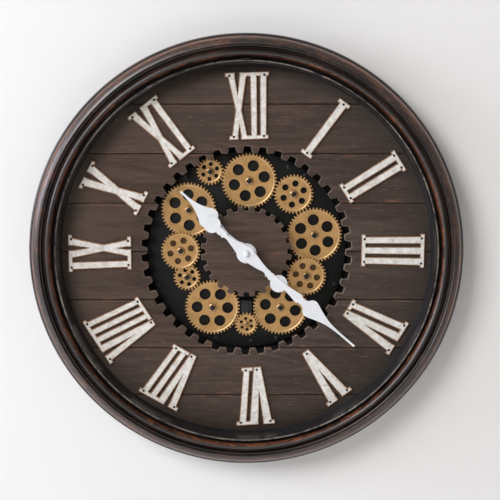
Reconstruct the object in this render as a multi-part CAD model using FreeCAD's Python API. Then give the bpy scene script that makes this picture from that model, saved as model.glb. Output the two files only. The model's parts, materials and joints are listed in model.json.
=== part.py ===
import FreeCAD, Part
import math
import os

Vector = FreeCAD.Vector

# Round wall clock, millimetres. X to the right, Z up, Y into the wall.
# A lift is a distance in front of the wall, so a lift L lies at Y = -L.

# Ring frame: a turned band and bead round the dial, each ring at its inset from the outside
outer_radius = 300.0
band_shoulder_outer_inset = 4.4
band_crest_inset = 10.4
band_shoulder_inner_inset = 16.0
outer_groove_inset = 19.7
bead_shoulder_outer_inset = 22.4
bead_crest_inset = 26.4
bead_shoulder_inner_inset = 30.4
frame_width = 33.9
frame_side_lift = 46.0
band_shoulder_lift = 54.4
band_crest_lift = 57.4
outer_groove_lift = 47.4
bead_shoulder_lift = 55.6
bead_crest_lift = 58.4
inner_groove_lift = 46.4

band_shoulder_outer_radius = outer_radius - band_shoulder_outer_inset
band_crest_radius = outer_radius - band_crest_inset
band_shoulder_inner_radius = outer_radius - band_shoulder_inner_inset
outer_groove_radius = outer_radius - outer_groove_inset
bead_shoulder_outer_radius = outer_radius - bead_shoulder_outer_inset
bead_crest_radius = outer_radius - bead_crest_inset
bead_shoulder_inner_radius = outer_radius - bead_shoulder_inner_inset
frame_inner_radius = outer_radius - frame_width

# Inner bezel: a hoop with a thin lip and a wall that slopes to the dial
fit_gap = 0.3
bezel_lip_inset = 1.8
bezel_crest_inset = 4.6
bezel_foot_width = 9.0
bezel_crest_lift = 58.8
bezel_lip_lift = 57.6

bezel_wall_radius = frame_inner_radius - fit_gap
bezel_lip_radius = bezel_wall_radius - bezel_lip_inset
bezel_crest_radius = bezel_wall_radius - bezel_crest_inset
bezel_foot_radius = bezel_wall_radius - bezel_foot_width

# Layers from the wall forwards
board_thickness = 3.0
board_margin = 8.0
board_sides = 48
standoff_height = 7.0
plate_thickness = 2.0
gear_floor = 1.0
gear_thickness = 3.0
wheel_gap = 0.6
wheel_thickness = 2.5
dial_gap = 1.9
plank_thickness = 9.0
backing_thickness = 3.0

board_front = board_thickness
plate_back = board_front + standoff_height
plate_front = plate_back + plate_thickness
gear_back = plate_front + gear_floor
gear_front = gear_back + gear_thickness
wheel_back = gear_front + wheel_gap
wheel_front = wheel_back + wheel_thickness
dial_back = wheel_front + dial_gap
dial_front = dial_back + plank_thickness
backing_back = dial_back - backing_thickness
board_radius = outer_radius - board_margin
cut_over = 5.0

# Plank dial with a gear-shaped window, and the toothed centre disc
plank_overhang = 6.2
plank_seam = 0.6
plank_rows = 4
loose_chip_share = 0.05
window_teeth = 42
window_root_radius = 137.9
window_tip_radius = 146.6
window_root_width = 12.6
window_tip_width = 9.2
window_phase = 0.6
disc_teeth = 24
disc_root_radius = 57.2
disc_tip_radius = 63.4
disc_root_width = 8.1
disc_tip_width = 7.0
disc_phase = 7.3
backing_clearance = 3.4
backing_sides = 36
block_count = 8
block_width = 34.0
block_height = 18.0
block_margin = 24.1
small_sides = 10
round_sides = 16

plank_pitch = (bezel_wall_radius + plank_overhang) / plank_rows
block_distance = frame_inner_radius - block_margin

# Gear plate behind the window, its standoffs, and the posts under the disc
plate_radius = 138.5
plate_sides = 48
plate_hole_radius = 44.0
plate_hole_sides = 24
plate_slot_width = 19.0
plate_slot_top = 66.5
plate_slot_bottom = 119.0
standoff_radius = 4.2
standoff_circle_radius = 133.0
standoff_bearings = [38.0, 111.4, 161.2, 198.8, 248.0, 320.8]
inner_standoff_radius = 130.4
inner_standoff_bearings = [26.6, 177.2]
post_radius = 3.2
post_circle_radius = 48.8
post_bearings = [45.0, 135.0, 225.0, 315.0]
hex_sides = 6

# Gear train: one tooth size for every wheel
tooth_pitch = 4.948
addendum = 0.95
dedendum = 2.4
tooth_tip_width = 1.1
big_teeth = 48
medium_teeth = 34
small_teeth = 23
driver_teeth = 20
pinion_teeth = 26
driver_distance = 105.3
driver_phase = 1.5
bearing_driver_to_low_right = 63.6
bearing_low_right_to_pinion = 38.5
bearing_pinion_to_right = 10.7
bearing_right_to_high_right = 333.1
bearing_high_right_to_top = 286.8
bearing_top_to_high_left = 283.3
bearing_driver_to_low_left = 296.6
bearing_low_left_to_left = 320.5
bearing_left_to_pinion = 347.4
bearing_pinion_to_high_left = 11.2

# Holes, hub and pin of each kind of wheel
big_hole_radius = 7.7
big_hole_circle = 21.5
big_hole_sides = 10
medium_hole_radius = 4.35
medium_hole_circle = 14.9
medium_hole_sides = 8
small_hole_radius = 2.9
small_hole_circle = 10.4
small_hole_sides = 6
driver_hole_radius = 1.5
driver_hole_stretch = 0.8
driver_hole_circle = 7.7
driver_hole_sides = 6
holes_per_gear = 6
hub_radius = 6.2
hub_top_radius = 4.6
hub_height = 2.6
hub_sides = 8
pin_sides = 8
driver_hub_radius = 4.0
pin_radius = 2.0
pin_clearance = 0.05
pin_head_radius = 3.3
pin_head_height = 1.4
pin_head_gap = 0.3
collar_radius = 3.6
collar_height = 0.7

# Bearing of the first hole of each wheel, as the train stands at rest
big_hole_turns = {"top": 15.0, "right": -4.0, "low_right": -18.7, "low_left": -28.5, "left": -1.8}
medium_hole_turns = {"high_right": 9.3, "right": -21.4, "left": 15.5}
small_hole_turns = {"high_left": 6.0, "left": -15.0}
driver_hole_turn = -7.0

# Gear motor behind the slot in the plate
motor_width = 16.0
motor_top = 72.0
motor_bottom = 117.0
motor_back = 3.5
motor_gap = 0.6
motor_shaft_radius = 1.5
motor_boss_radius = 4.5
motor_boss_height = 0.8

# Hands
hour_hand_height = 16.0
hand_thickness = 1.2
hand_spacing = 3.6
hour_hub_radius = 13.8
hour_length = 124.5
hour_bearing = 313.5
hour_tail = 61.5
hour_tail_radius = 12.0
minute_hub_radius = 10.8
minute_length = 198.0
minute_bearing = 130.9
minute_tail = 62.0
minute_tail_radius = 11.6
cap_radius = 4.4
cap_top_radius = 3.0
cap_height = 3.6
tail_steps = 10

# Quartz movement behind the centre disc
movement_width = 56.0
movement_thickness = 15.5
movement_corner = 6.0
bush_radius = 4.0
bush_bore_clearance = 0.3
bush_height = 5.0
washer_radius = 9.0
washer_thickness = 0.6
nut_radius = 7.0
nut_height = 2.4
hour_tube_radius = 2.6
arbor_radius = 1.6
running_clearance = 0.08
knob_radius = 6.5
knob_height = 3.2
knob_offset_x = -17.0
knob_offset_z = -6.0
knob_stem_radius = 2.0
knob_stem_depth = 4.0
cell_radius = 7.1
cell_length = 49.2
cell_button_radius = 2.7
cell_button_length = 1.3
cell_offset_z = 17.0
bay_gap = 0.4
board_opening = 59.0

# Battery tray of the gear motor, let into the back board below the window
tray_wall = 1.2
tray_distance = 192.0

# Wall hanger let into the back of the frame
hanger_width = 20.0
hanger_height = 32.0
hanger_thickness = 1.5
hanger_margin = 27.0
keyhole_radius = 4.6
keyhole_slot_radius = 2.1
keyhole_slot_length = 12.0
keyhole_drop = 7.0
hanger_pocket_depth = 10.0
hanger_pocket_margin = 4.0

hanger_distance = outer_radius - hanger_margin

# Numerals: letters cut from thin board, feet towards the hub
numeral_thickness = 3.0
numeral_margin = 9.5
numeral_window_margin = 13.2
numeral_inner_drop = 4.0
stroke_width = 10.2
letter_gap = 4.6
serif_reach = 3.4
serif_strip = 5.8
letter_v_width = 32.0
letter_v_foot = 10.5
letter_v_slit = 6.0
letter_x_width = 30.0
letter_x_foot_width = 25.0
letter_x_slit = 6.4
letter_x_foot_slit = 3.4
letter_x_waist = 9.6
stroke_foot_share = 0.9
slit_depth_share = 0.58
x_slit_depth_share = 0.33
x_foot_slit_share = 0.22
x_waist_share = 0.44

numeral_outer_radius = bezel_foot_radius - numeral_margin
numeral_inner_radius = window_tip_radius + numeral_window_margin
numeral_words = ["I", "II", "III", "IV", "V", "VI", "VII", "VIII", "IX", "X", "XI", "XII"]
numeral_bearings = [32.4, 59.1, 89.5, 119.8, 148.4, 177.0, 210.8, 238.6, 269.5, 295.6, 325.1, 0.6]
numeral_slants = [36.7, 58.0, 90.5, 121.0, 143.5, 176.5, 209.2, 237.9, 269.6, 298.0, 321.8, 358.1]
numeral_width_shares = [1.1, 1.02, 1.03, 1.0, 1.08, 1.02, 0.9, 0.86, 1.02, 1.15, 0.99, 0.91]


def at(x, z, lift):
    """A point given by its place on the dial and its lift from the wall."""
    return Vector(x, -lift, z)


def polar(radius, bearing):
    """Place on the dial at a clock bearing, clockwise from twelve."""
    angle = math.radians(bearing)
    return radius * math.sin(angle), radius * math.cos(angle)


def slab(outline, low, high):
    """A flat plate with this outline between two lifts."""
    points = [at(x, z, low) for x, z in outline]
    face = Part.Face(Part.makePolygon(points + points[:1]))
    return face.extrude(Vector(0, low - high, 0))


def disc(radius, low, high, centre=(0, 0)):
    """A round plate or pin between two lifts."""
    return Part.makeCylinder(radius, high - low, at(centre[0], centre[1], low), Vector(0, -1, 0))


def regular(sides, radius, centre=(0, 0), turn=0):
    """Corner points of a regular polygon."""
    step = 360 / sides
    places = [polar(radius, turn + step * (k + 0.5)) for k in range(sides)]
    return [(centre[0] + x, centre[1] + z) for x, z in places]


def bar(sides, radius, low, high, centre=(0, 0)):
    """A short round piece with flat sides, its corners at the radius."""
    return slab(regular(sides, radius, centre), low, high)


def socket(sides, radius, low, high, centre=(0, 0)):
    """A flat-sided hole whose flats clear this radius."""
    return bar(sides, radius / math.cos(math.pi / sides), low - cut_over, high + cut_over, centre)


def box(width, height, low, high, centre=(0, 0)):
    """A rectangular block between two lifts."""
    x, z = centre
    half_w = width / 2
    half_h = height / 2
    outline = [(x - half_w, z - half_h), (x + half_w, z - half_h)]
    outline += [(x + half_w, z + half_h), (x - half_w, z + half_h)]
    return slab(outline, low, high)


def turned(profile):
    """A solid of revolution about the dial's axis, from radii and lifts."""
    points = [Vector(radius, -lift, 0) for radius, lift in profile]
    face = Part.Face(Part.makePolygon(points + points[:1]))
    return face.revolve(Vector(0, 0, 0), Vector(0, 1, 0), 360)


def toothed(teeth, root, tip, root_width, tip_width, phase, centre=(0, 0)):
    """Outline of a wheel or window with straight-sided teeth, one of them at the phase."""
    points = []
    for tooth in range(teeth):
        middle = phase + 360 * tooth / teeth
        root_half = math.degrees(root_width / 2 / root)
        tip_half = math.degrees(tip_width / 2 / tip)
        corners = [(root, -root_half), (tip, -tip_half), (tip, tip_half), (root, root_half)]
        for radius, offset in corners:
            x, z = polar(radius, middle + offset)
            points.append((centre[0] + x, centre[1] + z))
    return points


def save(name, shape):
    """Write one named piece."""
    shape.exportStep("parts/" + name + ".step")


def group(shapes):
    """Separate solids kept in one piece file."""
    return Part.makeCompound(shapes)


def pitch_radius(teeth):
    return tooth_pitch * teeth / (2 * math.pi)


def gear_outline(teeth, phase, centre):
    """Wheel outline with pointed gaps, so each tooth has two tip corners and a root."""
    tip = pitch_radius(teeth) + addendum
    root = pitch_radius(teeth) - dedendum
    tip_half = math.degrees(tooth_tip_width / 2 / tip)
    points = []
    for tooth in range(teeth):
        middle = phase + 360 * tooth / teeth
        for radius, offset in [(tip, -tip_half), (tip, tip_half), (root, 180 / teeth)]:
            x, z = polar(radius, middle + offset)
            points.append((centre[0] + x, centre[1] + z))
    return points


def next_gear(driver, bearing, teeth):
    """Centre and phase of a wheel in mesh with the driver, at a bearing from it."""
    reach = pitch_radius(driver["teeth"]) + pitch_radius(teeth)
    x, z = polar(reach, bearing)
    turns = (bearing - driver["phase"]) * driver["teeth"] / 360
    phase = bearing + 180 + (turns - math.floor(turns)) * 360 / teeth + 180 / teeth
    centre = (driver["centre"][0] + x, driver["centre"][1] + z)
    return {"teeth": teeth, "centre": centre, "phase": phase}


def holes(sides, radius, circle, turn, centre, low, high, stretch=0):
    """A ring of lightening holes, round or stretched along the radius."""
    cuts = []
    for k in range(holes_per_gear):
        bearing = turn + 360 * k / holes_per_gear
        middle = polar(circle, bearing)
        outline = []
        for side in range(sides):
            angle = math.radians(360 * (side + 0.5) / sides)
            along = (radius + stretch) * math.cos(angle)
            across = radius * math.sin(angle)
            out = polar(along, bearing)
            side_step = polar(across, bearing + 90)
            x = centre[0] + middle[0] + out[0] + side_step[0]
            z = centre[1] + middle[1] + out[1] + side_step[1]
            outline.append((x, z))
        cuts.append(slab(outline, low - cut_over, high + cut_over))
    return cuts


def tapered(sides, foot_radius, crown_radius, low, high, centre=(0, 0)):
    """A round piece with flat sides that draws in towards the front."""
    foot = [at(x, z, low) for x, z in regular(sides, foot_radius, centre)]
    crown = [at(x, z, high) for x, z in regular(sides, crown_radius, centre)]
    rings = [foot, crown]
    for k in range(sides):
        rings.append([foot[k - 1], foot[k], crown[k], crown[k - 1]])
    faces = [Part.Face(Part.makePolygon(ring + ring[:1])) for ring in rings]
    return Part.makeSolid(Part.makeShell(faces))


def hub(centre, lift):
    """Domed bush that stands on the front of a wheel."""
    return tapered(hub_sides, hub_radius, hub_top_radius, lift, lift + hub_height, centre)


def wheel(gear, low, high, hole_form, hole_turn):
    """A drilled brass wheel with its hub, bored for its pin."""
    centre = gear["centre"]
    body = slab(gear_outline(gear["teeth"], gear["phase"], centre), low, high)
    cuts = holes(*hole_form, hole_turn, centre, low, high)
    body = body.cut(cuts).fuse(hub(centre, high)).removeSplitter()
    return body.cut(socket(pin_sides, pin_radius + pin_clearance, low, high + hub_height, centre))


def build_frame():
    """Turned ring, and the sloping hoop that lies on the dial inside it."""
    profile = [
        (frame_inner_radius, board_front),
        (outer_radius, board_front),
        (outer_radius, frame_side_lift),
        (band_shoulder_outer_radius, band_shoulder_lift),
        (band_crest_radius, band_crest_lift),
        (band_shoulder_inner_radius, band_shoulder_lift),
        (outer_groove_radius, outer_groove_lift),
        (bead_shoulder_outer_radius, bead_shoulder_lift),
        (bead_crest_radius, bead_crest_lift),
        (bead_shoulder_inner_radius, bead_shoulder_lift),
        (frame_inner_radius, inner_groove_lift),
    ]
    width, height = hanger_pocket()
    pocket = box(width, height, board_front - cut_over, hanger_pocket_depth, (0, hanger_distance))
    save("frame_ring", turned(profile).cut(pocket))
    bezel = [
        (bezel_foot_radius, dial_front),
        (bezel_crest_radius, bezel_crest_lift),
        (bezel_lip_radius, bezel_lip_lift),
        (bezel_wall_radius, dial_front),
    ]
    save("inner_bezel", turned(bezel))


def hanger_pocket():
    """Width and height of the hollow behind the keyhole, for the head of the wall screw."""
    return hanger_width - 2 * hanger_pocket_margin, hanger_height - 2 * hanger_pocket_margin


def build_hanger():
    """Keyhole plate let in flush with the back of the board."""
    plate = box(hanger_width, hanger_height, 0, hanger_thickness, (0, hanger_distance))
    eye = (0, hanger_distance - keyhole_drop)
    top = (0, eye[1] + keyhole_slot_length)
    cuts = [disc(keyhole_radius, -cut_over, cut_over, eye)]
    cuts.append(disc(keyhole_slot_radius, -cut_over, cut_over, top))
    middle = (0, eye[1] + keyhole_slot_length / 2)
    cuts.append(box(2 * keyhole_slot_radius, keyhole_slot_length, -cut_over, cut_over, middle))
    save("wall_hanger", plate.cut(cuts))


def window(low, high):
    outline = toothed(
        window_teeth, window_root_radius, window_tip_radius, window_root_width, window_tip_width, window_phase
    )
    return slab(outline, low, high)


def plank(row, limit, opening):
    """One board, cut to the round dial and to the opening; chips that the teeth cut loose fall away."""
    middle = (0, plank_pitch * (row + 0.5))
    board = box(2 * limit, plank_pitch - plank_seam, dial_back, dial_front, middle)
    board = board.common(bar(backing_sides, limit, dial_back, dial_front)).cut(opening)
    pieces = [solid for solid in board.Solids if solid.Volume > loose_chip_share * board.Volume]
    return group(pieces) if len(pieces) > 1 else pieces[0]


def build_dial():
    """Eight planks on a backing ring, and the two halves of the toothed centre disc."""
    limit = bezel_wall_radius
    opening = window(dial_back - cut_over, dial_front + cut_over)
    for row in range(-plank_rows, plank_rows):
        save("dial_plank_" + str(plank_rows - row), plank(row, limit, opening))
    ring = bar(backing_sides, limit, backing_back, dial_back)
    hole = socket(backing_sides, window_tip_radius + backing_clearance, backing_back, dial_back)
    save("dial_backing", ring.cut(hole))
    half_w = block_width / 2
    half_h = block_height / 2
    corners = [(-half_w, -half_h), (half_w, -half_h), (half_w, half_h), (-half_w, half_h)]
    blocks = []
    for k in range(block_count):
        bearing = 360 * (k + 0.5) / block_count
        outline = turn_outline([(x, z + block_distance) for x, z in corners], bearing)
        blocks.append(slab(outline, board_front, backing_back))
    save("dial_blocks", group(blocks))
    outline = toothed(
        disc_teeth, disc_root_radius, disc_tip_radius, disc_root_width, disc_tip_width, disc_phase
    )
    whole = slab(outline, dial_back, dial_front)
    bore = socket(round_sides, bush_radius + bush_bore_clearance, dial_back, dial_front)
    for name, row in (("upper", 0), ("lower", -1)):
        save("centre_disc_" + name, plank(row, limit, bore).common(whole))


def build_plate():
    """Back board, black gear plate on hexagonal standoffs, and the posts that carry the disc."""
    board = bar(board_sides, board_radius, 0, board_front)
    cuts = [box(board_opening, board_opening, -cut_over, board_front + cut_over)]
    cuts.append(tray_block(-cut_over, board_front + cut_over, fit_gap))
    recess_width = hanger_width + 2 * fit_gap
    recess_height = hanger_height + 2 * fit_gap
    cuts.append(box(recess_width, recess_height, -cut_over, hanger_thickness, (0, hanger_distance)))
    width, height = hanger_pocket()
    cuts.append(box(width, height, -cut_over, board_front + cut_over, (0, hanger_distance)))
    save("back_board", board.cut(cuts))
    plate = bar(plate_sides, plate_radius, plate_back, plate_front)
    slot_middle = (0, -(plate_slot_top + plate_slot_bottom) / 2)
    slot_height = plate_slot_bottom - plate_slot_top
    slot = box(plate_slot_width, slot_height, plate_back - cut_over, plate_front + cut_over, slot_middle)
    save("gear_plate", plate.cut([socket(plate_hole_sides, plate_hole_radius, plate_back, plate_front), slot]))
    places = [polar(standoff_circle_radius, bearing) for bearing in standoff_bearings]
    places += [polar(inner_standoff_radius, bearing) for bearing in inner_standoff_bearings]
    standoffs = [bar(hex_sides, standoff_radius, board_front, plate_back, place) for place in places]
    save("plate_standoffs", group(standoffs))
    places = [polar(post_circle_radius, bearing) for bearing in post_bearings]
    posts = [bar(hex_sides, post_radius, plate_front, dial_back, place) for place in places]
    save("disc_posts", group(posts))


def gear_train():
    """Every wheel of the train, placed by its mesh with the one before it."""
    driver = {"teeth": driver_teeth, "centre": (0, -driver_distance), "phase": driver_phase}
    low_right = next_gear(driver, bearing_driver_to_low_right, big_teeth)
    right_pinion = next_gear(low_right, bearing_low_right_to_pinion, pinion_teeth)
    right = next_gear(right_pinion, bearing_pinion_to_right, big_teeth)
    high_right = next_gear(right, bearing_right_to_high_right, medium_teeth)
    top = next_gear(high_right, bearing_high_right_to_top, big_teeth)
    high_left = next_gear(top, bearing_top_to_high_left, small_teeth)
    low_left = next_gear(driver, bearing_driver_to_low_left, big_teeth)
    left_small = next_gear(low_left, bearing_low_left_to_left, small_teeth)
    left_pinion = next_gear(left_small, bearing_left_to_pinion, pinion_teeth)
    left = next_gear(left_pinion, bearing_pinion_to_high_left, big_teeth)
    return {
        "driver": driver,
        "low_right": low_right,
        "right_pinion": right_pinion,
        "right": right,
        "high_right": high_right,
        "top": top,
        "high_left": high_left,
        "low_left": low_left,
        "left_small": left_small,
        "left_pinion": left_pinion,
        "left": left,
    }


def build_gears(train):
    """Brass wheels: five big, three medium, two small, the driver and two pinions."""
    big_form = (big_hole_sides, big_hole_radius, big_hole_circle)
    medium_form = (medium_hole_sides, medium_hole_radius, medium_hole_circle)
    small_form = (small_hole_sides, small_hole_radius, small_hole_circle)
    for name, turn in big_hole_turns.items():
        save("gear_big_" + name, wheel(train[name], gear_back, gear_front, big_form, turn))
    turn = medium_hole_turns["high_right"]
    save("gear_medium_high_right", wheel(train["high_right"], gear_back, gear_front, medium_form, turn))
    for name, gear in (("high_left", train["high_left"]), ("left", train["left_small"])):
        save("gear_small_" + name, wheel(gear, gear_back, gear_front, small_form, small_hole_turns[name]))
    for side in ("right", "left"):
        pinion = train[side + "_pinion"]
        front = {"teeth": medium_teeth, "centre": pinion["centre"], "phase": pinion["phase"]}
        turn = medium_hole_turns[side]
        save("gear_medium_" + side, wheel(front, wheel_back, wheel_front, medium_form, turn))
        body = slab(gear_outline(pinion_teeth, pinion["phase"], pinion["centre"]), gear_back, wheel_back)
        bore = socket(pin_sides, pin_radius + pin_clearance, gear_back, wheel_back, pinion["centre"])
        save("pinion_" + side, body.cut(bore))


def build_driver(train):
    """Smallest wheel, fixed on the shaft of the flat gear motor."""
    driver = train["driver"]
    centre = driver["centre"]
    body = slab(gear_outline(driver_teeth, driver["phase"], centre), gear_back, gear_front)
    form = (driver_hole_sides, driver_hole_radius, driver_hole_circle)
    cuts = holes(*form, driver_hole_turn, centre, gear_back, gear_front, driver_hole_stretch)
    ring = slab(regular(hub_sides, driver_hub_radius, centre), gear_front, gear_front + hub_height)
    body = body.cut(cuts).fuse(ring).removeSplitter()
    shaft_top = gear_front + hub_height + pin_clearance
    bore = socket(small_sides, motor_shaft_radius, gear_back, shaft_top, centre)
    save("gear_driver", body.cut(bore))
    motor_front = plate_front - motor_gap
    boss_top = motor_front + motor_boss_height
    save("motor_shaft", bar(small_sides, motor_shaft_radius, boss_top + pin_clearance, shaft_top, centre))
    middle = (0, -(motor_top + motor_bottom) / 2)
    case = box(motor_width, motor_bottom - motor_top, motor_back, motor_front, middle)
    boss = bar(round_sides, motor_boss_radius, motor_front, boss_top, centre)
    save("gear_motor", case.fuse(boss).removeSplitter())


def build_pins(train):
    """Fixed steel pins with a collar below each wheel and a head above its hub."""
    pins = []
    for name, gear in train.items():
        if name == "driver":
            continue
        centre = gear["centre"]
        top = wheel_front if name.endswith("pinion") else gear_front
        head = top + hub_height + pin_head_gap
        collar = bar(hex_sides, collar_radius, plate_front, plate_front + collar_height, centre)
        pin = bar(pin_sides, pin_radius, plate_front, head, centre)
        cap = bar(pin_sides, pin_head_radius, head, head + pin_head_height, centre)
        pins.append(collar.fuse([pin, cap]).removeSplitter())
    save("gear_pins", group(pins))


def hand_outline(half_widths, tail, tail_radius):
    """Half widths along a hand, mirrored, with a round counterweight at the tail."""
    right = [(width, along) for along, width in half_widths]
    start_angle = math.asin(right[0][0] / tail_radius)
    arc = []
    for k in range(1, tail_steps):
        angle = start_angle + (2 * math.pi - 2 * start_angle) * k / tail_steps
        arc.append((-tail_radius * math.sin(angle), -tail + tail_radius * math.cos(angle)))
    left = [(-width, along) for width, along in reversed(right)]
    return right + left + arc


def turn_outline(outline, bearing):
    angle = math.radians(bearing)
    cos, sin = math.cos(angle), math.sin(angle)
    return [(x * cos + z * sin, z * cos - x * sin) for x, z in outline]


def hand(form, bearing, back, bore_radius):
    """One flat hand with its round hub, pushed on its tube or arbor."""
    shares, length, tail, tail_radius, hub_size = form
    widths = [(along * length, width * length) for along, width in shares]
    outline = turn_outline(hand_outline(widths, tail, tail_radius), bearing)
    blade = slab(outline, back, back + hand_thickness)
    blade = blade.fuse(bar(round_sides, hub_size, back, back + hand_thickness)).removeSplitter()
    return blade.cut(socket(small_sides, bore_radius, back, back))


def build_hands():
    """Flat spade hands with collars and round counterweights."""
    hour_back = dial_front + hour_hand_height
    minute_back = hour_back + hand_thickness + hand_spacing
    hour_widths_share = [
        (-0.402, 0.036), (-0.335, 0.034), (-0.326, 0.047), (-0.312, 0.028), (-0.19, 0.048), (-0.096, 0.066),
        (0.096, 0.066), (0.16, 0.04), (0.24, 0.029), (0.34, 0.03), (0.425, 0.048), (0.437, 0.034),
        (0.455, 0.034), (0.5, 0.074), (0.54, 0.111), (0.575, 0.117), (0.61, 0.108), (0.66, 0.08),
        (0.72, 0.052), (0.8, 0.028), (0.89, 0.014), (1.0, 0.012),
    ]
    minute_widths_share = [
        (-0.258, 0.02), (-0.212, 0.021), (-0.206, 0.03), (-0.197, 0.018), (-0.12, 0.025), (-0.05, 0.042),
        (0.05, 0.042), (0.1, 0.031), (0.16, 0.02), (0.235, 0.0145), (0.38, 0.02), (0.487, 0.0355),
        (0.494, 0.024), (0.52, 0.024), (0.545, 0.032), (0.565, 0.055), (0.588, 0.0645), (0.61, 0.061),
        (0.66, 0.043), (0.72, 0.024), (0.78, 0.0125), (0.85, 0.008), (1.0, 0.0075),
    ]
    hour_form = (hour_widths_share, hour_length, hour_tail, hour_tail_radius, hour_hub_radius)
    minute_form = (minute_widths_share, minute_length, minute_tail, minute_tail_radius, minute_hub_radius)
    save("hour_hand", hand(hour_form, hour_bearing, hour_back, hour_tube_radius))
    save("minute_hand", hand(minute_form, minute_bearing, minute_back, arbor_radius))
    cap_back = minute_back + hand_thickness
    arbor_end = cap_back - pin_clearance
    save("hand_cap", tapered(round_sides, cap_radius, cap_top_radius, cap_back, cap_back + cap_height))
    movement_back = dial_back - movement_thickness
    core = movement_back + movement_thickness / 2
    tube_top = hour_back + hand_thickness
    tube = bar(small_sides, hour_tube_radius, core, tube_top)
    save("hour_tube", tube.cut(socket(small_sides, arbor_radius + running_clearance, core, tube_top)))
    save("minute_arbor", bar(small_sides, arbor_radius, core, arbor_end))


def tray_block(low, high, gap):
    """Space of the battery tray, let through the back board."""
    width = cell_length + cell_button_length + 2 * bay_gap + 2 * tray_wall + 2 * gap
    height = 2 * cell_radius + 2 * bay_gap + 2 * tray_wall + 2 * gap
    return box(width, height, low, high, (0, -tray_distance))


def cell(centre, lift):
    """A single dry cell lying along X, with its button at the right."""
    start = centre[0] - (cell_length + cell_button_length) / 2
    pieces = []
    body = (cell_radius, 0, cell_length)
    button = (cell_button_radius, cell_length, cell_button_length)
    for radius, low, length in (body, button):
        ring = [at(start + low, centre[1] + z, lift + x) for x, z in regular(round_sides, radius)]
        face = Part.Face(Part.makePolygon(ring + ring[:1]))
        pieces.append(face.extrude(Vector(length, 0, 0)))
    return pieces[0].fuse(pieces[1]).removeSplitter()


def build_movement():
    """Sealed movement case with its bay, threaded bush, nut, washer, setting knob and cell."""
    back = dial_back - movement_thickness
    half = movement_width / 2
    corner = movement_corner
    outline = []
    for sx, sz in ((1, 1), (1, -1), (-1, -1), (-1, 1)):
        pair = [(sx * (half - corner), sz * half), (sx * half, sz * (half - corner))]
        outline += pair if sx * sz > 0 else pair[::-1]
    case = slab(outline, back, dial_back)
    bay_width = cell_length + cell_button_length + 2 * bay_gap
    bay_height = 2 * cell_radius + 2 * bay_gap
    bay_top = back + bay_height
    bay = box(bay_width, bay_height, back - cut_over, bay_top - bay_gap, (0, cell_offset_z))
    core = back + movement_thickness / 2
    bore = bar(small_sides, hour_tube_radius + bush_bore_clearance, core - bay_gap, dial_back + cut_over)
    knob = (knob_offset_x, knob_offset_z)
    stem_gap = knob_stem_radius + bush_bore_clearance
    stem_hole = bar(small_sides, stem_gap, back - cut_over, back + knob_stem_depth + bay_gap, knob)
    save("movement_case", case.cut([bay, bore, stem_hole]))
    cell_lift = back + bay_gap + cell_radius
    save("clock_cell", cell((0, cell_offset_z), cell_lift))
    bush_top = dial_front + washer_thickness + nut_height + bush_height / 2
    bush = bar(round_sides, bush_radius, dial_back, bush_top)
    tube_bore = socket(small_sides, hour_tube_radius + running_clearance, dial_back, bush_top)
    save("threaded_bush", bush.cut(tube_bore))
    washer = bar(round_sides, washer_radius, dial_front, dial_front + washer_thickness)
    save("bush_washer", washer.cut(socket(round_sides, bush_radius + pin_clearance, dial_front, dial_front)))
    nut_back = dial_front + washer_thickness
    nut = bar(hex_sides, nut_radius, nut_back, nut_back + nut_height)
    save("bush_nut", nut.cut(socket(round_sides, bush_radius + pin_clearance, nut_back, nut_back)))
    grip = bar(round_sides, knob_radius, back - fit_gap - knob_height, back - fit_gap, knob)
    stem = bar(small_sides, knob_stem_radius, back - fit_gap, back + knob_stem_depth, knob)
    save("setting_knob", grip.fuse(stem).removeSplitter())


def build_tray():
    """Battery tray of the gear motor and its cell, reached from the back."""
    inner_width = cell_length + cell_button_length + 2 * bay_gap
    inner_height = 2 * cell_radius + 2 * bay_gap
    depth = 2 * cell_radius + bay_gap
    front = depth + tray_wall
    body = tray_block(0, front, 0)
    bay = box(inner_width, inner_height, -cut_over, depth, (0, -tray_distance))
    save("motor_battery_tray", body.cut(bay))
    save("motor_cell", cell((0, -tray_distance), bay_gap + cell_radius))


def numeral_letters(word):
    """Letter outlines in (across, along) from the foot, before the fan and slant."""
    spans = []
    width = 0
    foot = 0
    sizes = {"I": (stroke_width, stroke_width * stroke_foot_share)}
    sizes["V"] = (letter_v_width, letter_v_foot)
    sizes["X"] = (letter_x_width, letter_x_foot_width)
    for letter in word:
        top, base = sizes[letter]
        spans.append((letter, width, width + top, foot, foot + base))
        width += top + letter_gap
        foot += base + letter_gap
    width -= letter_gap
    foot -= letter_gap
    placed = []
    for letter, left, right, foot_left, foot_right in spans:
        top = (left - width / 2, right - width / 2)
        placed.append((letter, *top, foot_left - foot / 2, foot_right - foot / 2))
    return placed


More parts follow.
